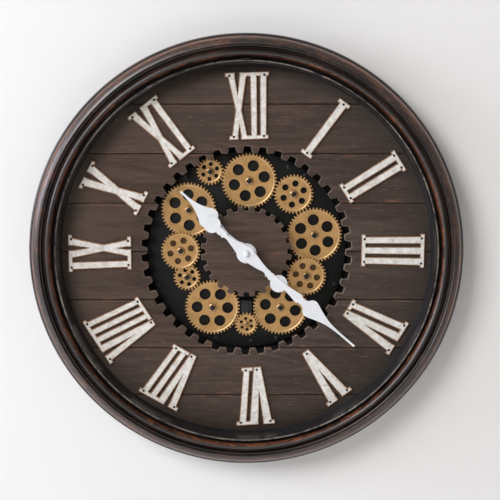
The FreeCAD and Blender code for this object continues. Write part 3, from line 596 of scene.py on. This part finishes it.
def numeralPins(piece, slant, front):
    # nail heads at the outer corners, found from the numeral's own outline
    turn = math.radians(slant)
    right = Vector((math.cos(turn), 0, -math.sin(turn)))
    up = Vector((math.sin(turn), 0, math.cos(turn)))
    spots = [(vertex.co.dot(right) / mm, vertex.co.dot(up) / mm) for vertex in piece.data.vertices]
    top = max(along for across, along in spots)
    foot = min(along for across, along in spots)
    radius, stand, inset = numeralShape["pinRadius"], numeralShape["pinStand"], numeralShape["pinInset"]
    profile = [(0, front - 0.4), (radius, front - 0.4), (radius, front + stand * 0.4)]
    profile += [(radius * 0.75, front + stand * 0.85), (0, front + stand)]
    heads = []
    for end, inward in ((top, -1), (foot, 1)):
        edge = [across for across, along in spots if abs(along - end) < numeralShape["cornerReach"]]
        first, last = min(edge) + inset, max(edge) - inset
        # a narrow end has one nail in its middle
        places = [first, last] if last - first >= 2 * inset else [(first + last) / 2]
        for across in places:
            spot = right * (across * mm) + up * ((end + inward * numeralShape["pinDrop"]) * mm)
            heads.append(spinProfile(profile, 14, spot.x / mm, spot.z / mm))
    return heads


numeralHeads = []
for number, slant in enumerate(numeralShape["slants"], 1):
    node = "numeral_" + str(number)
    piece = roundEdges(copyNode(node), numeralShape["edge"], 2)
    numeralHeads += numeralPins(piece, slant, lifts(node)[1])
    # the front face is inset twice, and all outside the inner line is scorched
    selectWhere(piece, True, lambda face: face.normal.y < -0.99)
    for band in range(2):
        bpy.ops.mesh.inset(thickness=numeralShape["scorchWidth"] / 2 * mm, use_even_offset=False)
    closeEdit()
    scorch = piece.data.attributes.new("scorch", "FLOAT", "POINT")
    for vertex in piece.data.vertices:
        scorch.data[vertex.index].value = 0.0 if vertex.select else 1.0
    finishPiece(piece, "numeral" + str(number), "clock_case", [numeralPaint], [node],
                smooth=18)
finishPiece(joinPieces(numeralHeads), "numeralNails", "clock_case", [darkSteel])
print("numerals done")


# Brass wheels: each size is modelled once, then copied to its pins

wheelShape = {
    "module": 1.575, "addendum": 0.95, "dedendum": 2.4, "edge": 0.2, "tipBand": 0.2, "bore": 2.05, "holes": 6,
    "stepDepth": 0.5, "stepSlope": 0.45, "hubRadius": 6.2, "hubTop": 4.6, "hubHeight": 2.6, "hubBore": 2.4,
    "hubSink": 0.1,
}
# holes stand on a circle, a step is the radius of the recess, and a pinion is plain
wheelKinds = {
    "big": {"teeth": 48, "thickness": 3.0, "hole": 7.9, "circle": 21.5, "step": 34.4},
    "medium": {"teeth": 34, "thickness": 3.0, "hole": 4.5, "circle": 14.9, "step": 22.9},
    "frontMedium": {"teeth": 34, "thickness": 2.5, "hole": 4.5, "circle": 14.9, "step": 22.9},
    "small": {"teeth": 23, "thickness": 3.0, "hole": 3.0, "circle": 10.4, "step": 14.0},
    "driver": {"teeth": 20, "thickness": 3.0, "hole": 2.3, "circle": 7.7, "step": 11.9,
               "hubRadius": 4.0, "hubTop": 3.2, "hubBore": 1.55},
    "pinion": {"teeth": 26, "thickness": 3.6, "step": None},
}
pivots = {joint["child"]: joint["pos_m"] for joint in frame["joints"]}
# kind of each wheel and the body that it turns with
wheelPlaces = {
    "gear_big_top": ("big", "wheel_top"), "gear_big_right": ("big", "wheel_right"),
    "gear_big_low_right": ("big", "wheel_low_right"), "gear_big_low_left": ("big", "wheel_low_left"),
    "gear_big_left": ("big", "wheel_left"), "gear_medium_high_right": ("medium", "wheel_high_right"),
    "gear_medium_right": ("frontMedium", "wheel_mid_right"),
    "gear_medium_left": ("frontMedium", "wheel_mid_left"),
    "gear_small_high_left": ("small", "wheel_high_left"), "gear_small_left": ("small", "wheel_small_left"),
    "gear_driver": ("driver", "wheel_driver"), "pinion_right": ("pinion", "wheel_mid_right"),
    "pinion_left": ("pinion", "wheel_mid_left"),
}


def toothedBlank(teeth, tip, rootShare, thickness):
    # a many-sided disc, two corners of each four drawn in between the teeth
    deselectAll()
    bpy.ops.mesh.primitive_circle_add(vertices=4 * teeth, radius=tip * mm, fill_type="NGON", rotation=faceOn)
    blank = settle(bpy.context.object)
    selectWhere(blank, False, lambda vertex: vertex.index % 4 > 1)
    bpy.ops.transform.resize(value=(rootShare, rootShare, rootShare), center_override=(0, 0, 0))
    bpy.ops.mesh.select_all(action="SELECT")
    bpy.ops.mesh.extrude_region_move(TRANSFORM_OT_translate={"value": (0, -thickness * mm, 0)})
    closeOutwards()
    return blank


def tipRadius(kind):
    return wheelShape["module"] * wheelKinds[kind]["teeth"] / 2 + wheelShape["addendum"]


def modelWheel(kind):
    looks = wheelKinds[kind]
    tip, thickness = tipRadius(kind), looks["thickness"]
    root = wheelShape["module"] * looks["teeth"] / 2 - wheelShape["dedendum"]
    wheel = toothedBlank(looks["teeth"], tip, root / tip, thickness)
    if looks["step"]:
        # the recess ends in a sloping step: dark towards the light, bright away from it
        floor, front = thickness - wheelShape["stepDepth"], thickness + 0.02
        near, far = looks["step"] - wheelShape["stepSlope"], looks["step"] + wheelShape["stepSlope"]
        cutAway(wheel, spinProfile([(0, floor), (near, floor), (far, front), (0, front)], 96))
    return cutAway(wheel, addDisc(wheelShape["bore"], -1, thickness + 1, sides=24))


def finishWheel(wheel, kind, holeTurn):
    # holes are drilled at this wheel's own bearing, then the edges are broken
    looks, holes = wheelKinds[kind], wheelShape["holes"]
    drills = []
    for k in range(holes):
        x, z = onCircle(looks["circle"], holeTurn + math.radians(360 * k / holes))
        drills.append(addDisc(looks["hole"], -1, looks["thickness"] + 1, x, z, sides=36))
    cutAway(wheel, joinPieces(drills))
    roundEdges(wheel, wheelShape["edge"], 2)
    wheel.data.materials.clear()
    for material in (gearBrass, stepBrassHighlight):
        wheel.data.materials.append(material)
    # the step's faces take the paler brass, a painted highlight along the step; the rest keeps its satin
    # finish
    reach = wheelShape["stepSlope"] + wheelShape["edge"]
    for face in wheel.data.polygons:
        offStep = abs(math.hypot(face.center.x, face.center.z) / mm - looks["step"])
        face.material_index = 1 if offStep < reach and -0.99 < face.normal.y < -0.5 else 0
    hub = modelHub(kind)
    hub.data.materials.append(hubBrass)
    return joinPieces([wheel, hub])


def modelHub(kind):
    looks = {**wheelShape, **wheelKinds[kind]}
    foot, crown, bore = looks["hubRadius"], looks["hubTop"], looks["hubBore"]
    base = looks["thickness"] - looks["stepDepth"] - looks["hubSink"]
    top = looks["thickness"] + looks["hubHeight"]
    profile = [(bore, base), (foot, base), (foot, base + 1.0)]
    profile += bow((foot - 0.3, base + 1.3), (crown, top - 0.5), 0.5, 4)
    profile += bow((crown - 0.2, top - 0.25), (bore + 0.5, top - 0.25), -0.25, 4)
    profile += [(bore, top - 0.6), (bore, base)]
    return spinProfile(profile, 36)


def patternTurn(node, centre, count, near, far):
    # bearing of one tooth or hole, averaged over the node's corners between two radii
    real, imaginary = 0.0, 0.0
    for vertex in frame["nodes"][node].data.vertices:
        x, z = vertex.co.x - centre[0], vertex.co.z - centre[2]
        if near * mm < math.hypot(x, z) < far * mm:
            angle = math.atan2(x, z) * count
            real += math.cos(angle)
            imaginary += math.sin(angle)
    return math.atan2(imaginary, real) / count


def turnPiece(piece, angle):
    # turns the mesh clockwise seen from the front
    piece.rotation_euler = (0, angle, 0)
    return settle(piece)


def placeWheels():
    masters = {}
    for node, (kind, body) in wheelPlaces.items():
        looks, centre = wheelKinds[kind], pivots[body]
        if kind not in masters:
            masters[kind] = modelWheel(kind)
        wheel = copyPiece(masters[kind], node + "Looks")
        # the first tip of the master lies half a tip past the X axis
        firstTip = math.radians(90 - 45 / looks["teeth"])
        tips = tipRadius(kind) - wheelShape["tipBand"]
        turnPiece(wheel, patternTurn(node, centre, looks["teeth"], tips, math.inf) - firstTip)
        if looks["step"]:
            near, far = looks["circle"] - looks["hole"], looks["circle"] + looks["hole"]
            wheel = finishWheel(wheel, kind, patternTurn(node, centre, wheelShape["holes"], near, far))
        else:
            roundEdges(wheel, wheelShape["edge"], 2)
        wheel.location = (centre[0], -lifts(node)[0] * mm, centre[2])
        materials = [] if looks["step"] else [pinionBrassShade]
        finishPiece(wheel, pieceName(node), body, materials, [node], smooth=18)
    for master in masters.values():
        bpy.data.objects.remove(master)


placeWheels()
print("wheels done")


# Pins of the wheels, black plate and its screws

pinShape = {
    "radius": 2.0, "collar": 3.6, "collarHeight": 0.7, "gap": 0.3,
    "head": 3.6, "headHeight": 1.4, "headWall": 0.6,
}
plateBack, plateFront = lifts("gear_plate")


def modelPin(node, centre):
    shaft, collar, head = pinShape["radius"], pinShape["collar"], pinShape["head"]
    ledge = plateFront + pinShape["collarHeight"]
    top = lifts(node)[1] + pinShape["gap"]
    wall, high = top + pinShape["headWall"], top + pinShape["headHeight"]
    profile = [(0, plateFront), (collar, plateFront), (collar, ledge), (shaft, ledge), (shaft, top)]
    profile += [(head, top), (head, wall)]
    profile += bow((head - 0.3, wall + 0.3), (1.2, high), 0.15, 3)
    profile += [(0, high)]
    return spinProfile(profile, 28, centre[0] / mm, centre[2] / mm)


pins = [modelPin(node, pivots[body]) for node, (kind, body) in wheelPlaces.items()
        if kind not in ("driver", "pinion")]
finishPiece(joinPieces(pins), "wheelPins", "clock_case", [darkSteel], ["gear_pins"])

plateShape = {
    "radius": 138.5, "edge": 0.3, "hole": 44.0, "slotWidth": 19.0, "slotTop": 66.5, "slotBottom": 119.0,
}


def modelPlate():
    top, bottom = plateShape["slotTop"], plateShape["slotBottom"]
    behind, before = plateBack - 1, plateFront + 1
    plate = addDisc(plateShape["radius"], plateBack, plateFront, sides=192)
    cutAway(plate, addDisc(plateShape["hole"], behind, before, sides=96))
    cutAway(plate, addBlock(plateShape["slotWidth"], bottom - top, behind, before, z=-(top + bottom) / 2))
    return roundEdges(plate, plateShape["edge"], 2)


finishPiece(modelPlate(), "gearPlate", "clock_case", [plateCoat], ["gear_plate"])

screwShape = {
    "head": 3.2, "height": 1.5, "slotWidth": 0.8, "slotDepth": 0.7, "slotTurn": 3,
    "circles": {133.0: [38.0, 111.4, 161.2, 198.8, 248.0, 320.8], 130.4: [26.6, 177.2]},
}


def slottedHead(profile, slot, turn, spot):
    # a spun screw head: its slot is cut across, turned as it was left and moved to its spot
    head = spinProfile(profile, 28)
    cutAway(head, addBlock(3 * max(radius for radius, lift in profile), *slot))
    turnPiece(head, math.radians(turn))
    head.location = (spot[0] * mm, 0, spot[1] * mm)
    return settle(head)


def plateScrew(circle, bearing):
    head, height, low = screwShape["head"], screwShape["height"], plateFront
    profile = [(0, low), (head, low), (head, low + height * 0.35)]
    profile += bow((head * 0.93, low + height * 0.6), (head * 0.4, low + height), 0.12, 3)
    profile += [(0, low + height)]
    slot = (screwShape["slotWidth"], low + height - screwShape["slotDepth"], low + height + 1)
    spot = onCircle(circle, math.radians(bearing))
    return slottedHead(profile, slot, bearing * screwShape["slotTurn"], spot)


screws = []
for circle, bearings in screwShape["circles"].items():
    screws += [plateScrew(circle, bearing) for bearing in bearings]
finishPiece(joinPieces(screws), "plateScrews", "clock_case", [darkSteel])
print("plate and pins done")


# Hands

handShape = {
    "edge": 0.25,
    "hour": {
        "length": 124.5, "bearing": 313.5, "tail": 61.5, "tailRadius": 12.0, "hub": 13.8, "bore": 2.6,
        "widths": [
            (-0.402, 0.036), (-0.335, 0.034), (-0.326, 0.047), (-0.312, 0.028), (-0.19, 0.048),
            (-0.096, 0.066), (0.0, 0.07), (0.096, 0.066), (0.16, 0.04), (0.24, 0.029), (0.34, 0.03),
            (0.425, 0.048), (0.437, 0.034), (0.455, 0.034), (0.5, 0.074), (0.54, 0.111), (0.575, 0.117),
            (0.61, 0.108), (0.66, 0.08), (0.72, 0.052), (0.8, 0.028), (0.89, 0.014), (1.0, 0.012)],
        "corners": [-0.335, -0.326, 0.425, 0.437, 0.455, 1.0],
    },
    "minute": {
        "length": 198.0, "bearing": 130.9, "tail": 62.0, "tailRadius": 11.6, "hub": 10.8, "bore": 1.6,
        "widths": [
            (-0.258, 0.02), (-0.212, 0.021), (-0.206, 0.03), (-0.197, 0.018), (-0.12, 0.025), (-0.05, 0.042),
            (0.0, 0.045), (0.05, 0.042), (0.1, 0.031), (0.16, 0.02), (0.235, 0.0145), (0.38, 0.02),
            (0.487, 0.0355), (0.494, 0.024), (0.52, 0.024), (0.545, 0.032), (0.565, 0.055), (0.588, 0.0645),
            (0.61, 0.061), (0.66, 0.043), (0.72, 0.024), (0.78, 0.0125), (0.85, 0.008), (1.0, 0.0075)],
        "corners": [-0.212, -0.206, 0.487, 0.494, 0.52, 1.0],
    },
}


def modelHand(name):
    # the outline is a flat curve through half widths along the blade, thickened and laid face on
    looks = handShape[name]
    back, front = lifts(name + "_hand")
    length = looks["length"]
    right = [(width * length, share * length, share in looks["corners"]) for share, width in looks["widths"]]
    path = right + [(-width, along, corner) for width, along, corner in reversed(right)]
    curve = bpy.data.curves.new(name + "Outline", "CURVE")
    curve.dimensions = "2D"
    curve.fill_mode = "BOTH"
    curve.extrude = (front - back) / 2 * mm
    curve.resolution_u = 6
    spline = curve.splines.new("BEZIER")
    spline.bezier_points.add(len(path) - 1)
    spline.use_cyclic_u = True
    for point, (x, y, corner) in zip(spline.bezier_points, path):
        point.co = (x * mm, y * mm, 0)
        kind = "VECTOR" if corner else "AUTO"
        point.handle_left_type = kind
        point.handle_right_type = kind
    selectOnly(addObject(name + "Blade", curve))
    bpy.ops.object.convert(target="MESH")
    blade = bpy.context.view_layer.objects.active
    selectWhere(blade, False, lambda vertex: True)
    bpy.ops.mesh.remove_doubles(threshold=0.01 * mm)
    bpy.ops.mesh.dissolve_limited(angle_limit=math.radians(0.5))
    closeOutwards()
    blade.rotation_euler = faceOn
    blade.location = (0, -(back + front) / 2 * mm, 0)
    settle(blade)
    cutAway(blade, addDisc(looks["tailRadius"], back, front, z=-looks["tail"], sides=96), "UNION")
    cutAway(blade, addDisc(looks["hub"], back, front, sides=96), "UNION")
    cutAway(blade, addDisc(looks["bore"], back - 1, front + 1, sides=32))
    turnPiece(blade, math.radians(looks["bearing"]))
    return roundEdges(blade, handShape["edge"], 2, 35)


for name in ("hour", "minute"):
    finishPiece(modelHand(name), name + "Hand", name, [handEnamel], [name + "_hand"], smooth=18)

capShape = {"radius": 4.4, "foot": 4.2, "footHeight": 0.3, "rim": 0.9, "crown": 1.3}


def modelCap():
    back, front = lifts("hand_cap")
    radius = capShape["radius"]
    profile = [(0, back), (capShape["foot"], back), (radius, back + capShape["footHeight"])]
    profile += bow((radius, back + capShape["rim"]), (0, front), -capShape["crown"], 8)
    return spinProfile(profile, 40)


finishPiece(modelCap(), "handCap", "minute", [handEnamel], ["hand_cap"], smooth=50)
print("hands done")


# Fastening of the movement, seen behind the hands: body and broken edge of each part

brassParts = {
    "bush_nut": ("clock_case", 0.3), "bush_washer": ("clock_case", 0.12),
    "threaded_bush": ("clock_case", 0.2), "hour_tube": ("hour", 0.1), "minute_arbor": ("minute", 0.1),
}
for node, (body, width) in brassParts.items():
    softNode(node, body, brightBrass, width, angle=50)


# Back of the clock: board, movement, cells, tray and hanger

backShape = {
    "radius": 292.0, "edge": 0.25, "opening": 59.0, "hangerAt": 273.0, "slotWidth": 12.0, "slotHeight": 24.0,
    "gap": 0.3, "screwCircle": 279.0, "screws": 8, "sinkRadius": 3.7, "sinkDepth": 0.8,
    "headRadius": 3.3, "headBack": 0.25, "driverSlot": 0.9, "slotTurn": 47,
}


def backScrewSpots():
    count, circle = backShape["screws"], backShape["screwCircle"]
    return [onCircle(circle, math.radians(360 * (k + 0.5) / count)) for k in range(count)]


def backScrews():
    # countersunk heads, sunk just under the board's face, each slot left at its own angle
    low, radius, slot = backShape["headBack"], backShape["headRadius"], backShape["driverSlot"]
    profile = [(0, low), (radius - 0.2, low), (radius, low + 0.2), (radius, low + 0.4)]
    profile += [(radius * 0.45, low + 2.2), (0, low + 2.2)]
    return joinPieces([
        slottedHead(profile, (slot, -1, low + slot), backShape["slotTurn"] * k, spot)
        for k, spot in enumerate(backScrewSpots())])


def roomFor(node):
    # width and height of the opening that a node is let into
    low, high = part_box(node)
    return (high.x - low.x) / mm + 2 * backShape["gap"], (high.z - low.z) / mm + 2 * backShape["gap"]


def modelBoard():
    back, front = lifts("back_board")
    opening, hangerAt = backShape["opening"], backShape["hangerAt"]
    low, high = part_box("motor_battery_tray")
    board = addDisc(backShape["radius"], back, front, sides=192)
    cutAway(board, addBlock(opening, opening, back - 1, front + 1))
    cutAway(board, addBlock(*roomFor("motor_battery_tray"), back - 1, front + 1, z=(high.z + low.z) / 2 / mm))
    cutAway(board, addBlock(*roomFor("wall_hanger"), back - 1, lifts("wall_hanger")[1], z=hangerAt))
    cutAway(board, addBlock(backShape["slotWidth"], backShape["slotHeight"], back - 1, front + 1, z=hangerAt))
    sinks = [addDisc(backShape["sinkRadius"], -1, backShape["sinkDepth"], x, z, sides=32)
             for x, z in backScrewSpots()]
    cutAway(board, joinPieces(sinks))
    roundEdges(board, backShape["edge"], 2)
    # the faces towards the front take the painted shade black
    for face in board.data.polygons:
        face.material_index = 1 if face.normal.y < -0.5 else 0
    return board


finishPiece(modelBoard(), "backBoard", "clock_case", [rawBoard, paintedShadeBlack], ["back_board"],
            smooth=18)
finishPiece(backScrews(), "backScrews", "clock_case", [zincPlate])
softNode("movement_case", "clock_case", mouldedBlack, 0.8, 3)
softNode("motor_battery_tray", "clock_case", mouldedBlack, 0.4)
softNode("gear_motor", "clock_case", mouldedBlack, 0.5)
softNode("wall_hanger", "clock_case", zincPlate, 0.2)

knobShape = {
    "ridges": 26, "radius": 6.5, "grooveShare": 0.93, "grip": 3.2, "edge": 0.15,
    "hollow": 4.4, "hollowDepth": 0.7, "stem": 2.0,
}


def modelKnob():
    # a ridged grip, hollow at the back, on a plain stem
    looks = knobShape
    low, high = lifts("setting_knob")
    centre = pivots["knob"]
    knob = toothedBlank(looks["ridges"], looks["radius"], looks["grooveShare"], looks["grip"])
    roundEdges(knob, looks["edge"], 1)
    cutAway(knob, addDisc(looks["hollow"], -1, looks["hollowDepth"], sides=40))
    cutAway(knob, addDisc(looks["stem"], looks["grip"] - 0.5, high - low, sides=24), "UNION")
    knob.location = (centre[0], -low * mm, centre[2])
    return knob


finishPiece(modelKnob(), "settingKnob", "knob", [mouldedBlack], ["setting_knob"])

cellShape = {"radius": 7.1, "length": 49.2, "rim": 0.6, "button": 2.7, "buttonLength": 1.3, "film": 5.6}


def modelCell(node):
    # spun round the dial's axis, then laid along X; both ends are bare inside the film
    radius, length, rim, button = (cellShape[key] for key in ("radius", "length", "rim", "button"))
    tip = length + cellShape["buttonLength"]
    low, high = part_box(node)
    y, z = (low.y + high.y) / 2, (low.z + high.z) / 2
    profile = [(0, 0), (radius - 0.9, 0), (radius - 0.3, 0.2), (radius, rim), (radius, length - rim)]
    profile += [(radius - 0.5, length), (radius - 1.6, length - 0.2), (button + 0.3, length - 0.2)]
    profile += [(button, length), (button, tip - 0.3), (button - 0.4, tip), (0, tip)]
    cell = spinProfile(profile, 40)
    cell.rotation_euler = (0, 0, math.radians(90))
    settle(cell)
    cell.location = (low.x, y, z)
    settle(cell)
    for face in cell.data.polygons:
        bare = math.hypot(face.center.y - y, face.center.z - z) < cellShape["film"] * mm
        face.material_index = 1 if bare or face.center.x - low.x > length * mm else 0
    return cell


for node in ("clock_cell", "motor_cell"):
    finishPiece(modelCell(node), pieceName(node), "clock_case", [cellFilm, zincPlate], [node])

# parts that only show through gaps keep their CAD shape
innerParts = {
    # the dial's backing takes the painted shade black
    "dial_backing": paintedShadeBlack, "dial_blocks": rawBoard, "plate_standoffs": plateCoat, "disc_posts": plateCoat,
    "motor_shaft": hubBrass,
}
for node, material in innerParts.items():
    materials = frame["nodes"][node].data.materials
    materials.clear()
    materials.append(material)
print("back done")


# Wall, floor, light and camera

stageShape = {
    "wallGap": 1.2, "wallWidth": 9.0, "wallOpening": 290.0, "floorDrop": 1.1, "world": 0.34,
    "wallColour": "#eeedeb", "floorColour": "#e9e8e6", "worldColour": "#fbf6f1",
}


def stageMaterial(name, colour, oneSided=False):
    material, tree = newMaterial(name, Base_Color=colour, Roughness=0.9, Specular_IOR_Level=0.2)
    if oneSided:
        # from behind, the wall lets the back of the clock be seen, but still stops the light
        side = addNode(tree, "ShaderNodeNewGeometry")
        ray = addNode(tree, "ShaderNodeLightPath")
        seen = addNode(tree, "ShaderNodeMath", links={
            0: side.outputs["Backfacing"], 1: ray.outputs["Is Camera Ray"]}, operation="MULTIPLY")
        clear = addNode(tree, "ShaderNodeBsdfTransparent")
        mix = addNode(tree, "ShaderNodeMixShader", links={
            0: seen.outputs[0], 1: tree.nodes["Principled BSDF"].outputs[0], 2: clear.outputs[0]})
        tree.links.new(mix.outputs[0], tree.nodes["Material Output"].inputs["Surface"])
    return material


# the wall is open behind the board, where the clock hides it, so that light reaches the back
rims = []
for radius in (stageShape["wallOpening"] * mm, stageShape["wallWidth"] / 2):
    deselectAll()
    bpy.ops.mesh.primitive_circle_add(
        vertices=96, radius=radius, fill_type="NOTHING", rotation=faceOn,
        location=(0, stageShape["wallGap"] * mm, 0))
    rims.append(settle(bpy.context.object))
wall = joinPieces(rims)
bpy.ops.object.mode_set(mode="EDIT")
bpy.ops.mesh.select_all(action="SELECT")
bpy.ops.mesh.bridge_edge_loops()
closeEdit()
if wall.data.polygons[0].normal.y > 0:
    wall.data.flip_normals()
wall.name = "backdropWall"
wall.data.materials.append(stageMaterial("PaleWallPaint", stageShape["wallColour"], oneSided=True))
bpy.ops.mesh.primitive_plane_add(size=stageShape["wallWidth"], location=(0, 0, -stageShape["floorDrop"]))
floor = settle(bpy.context.object)
floor.name = "paleFloor"
floor.data.materials.append(stageMaterial("PaleFloorPaint", stageShape["floorColour"]))

world = bpy.data.worlds.new("SoftRoom")
bpy.context.scene.world = world
world.use_nodes = True
sky = world.node_tree.nodes["Background"]
sky.inputs["Color"].default_value = toLinear(stageShape["worldColour"])
sky.inputs["Strength"].default_value = stageShape["world"]

lampShape = {
    "frontLamp": {"at": (-2.7, -3.7, 2.3), "size": 2.2, "energy": 166, "colour": "#fdfdff"},
    "backLamp": {"at": (1.6, 2.6, 1.4), "size": 1.6, "energy": 80, "colour": "#fffdfb"},
    "sideLamp": {"at": (-3.6, -1.05, 0.8), "size": 1.5, "energy": 66, "colour": "#e4ebff"},
}


def placeAiming(name, data, location, target):
    # a lamp or the camera, turned to face its target
    holder = addObject(name, data)
    holder.location = location
    holder.rotation_euler = (target - holder.location).to_track_quat("-Z", "Y").to_euler()
    return holder


for name, looks in lampShape.items():
    lamp = bpy.data.lights.new(name, "AREA")
    lamp.shape = "SQUARE"
    lamp.size = looks["size"]
    lamp.energy = looks["energy"]
    lamp.color = toLinear(looks["colour"])[:3]
    placeAiming(name, lamp, looks["at"], Vector((0, 0, 0)))

cameraShape = {"distance": 1.762, "rise": 8.0, "lens": 91.2, "aimLift": 30.0, "shift": (0.0072, 0.0034)}
camera = bpy.data.cameras.new("camera")
camera.lens = cameraShape["lens"]
camera.sensor_width = 36
camera.shift_x, camera.shift_y = cameraShape["shift"]
rise = math.radians(cameraShape["rise"])
aim = Vector((0, -cameraShape["aimLift"] * mm, 0))
away = cameraShape["distance"] * Vector((0, -math.cos(rise), math.sin(rise)))
bpy.context.scene.camera = placeAiming("camera", camera, aim + away, aim)
bpy.context.scene.view_settings.view_transform = "Standard"

bpy.context.view_layer.update()
print("stage done")
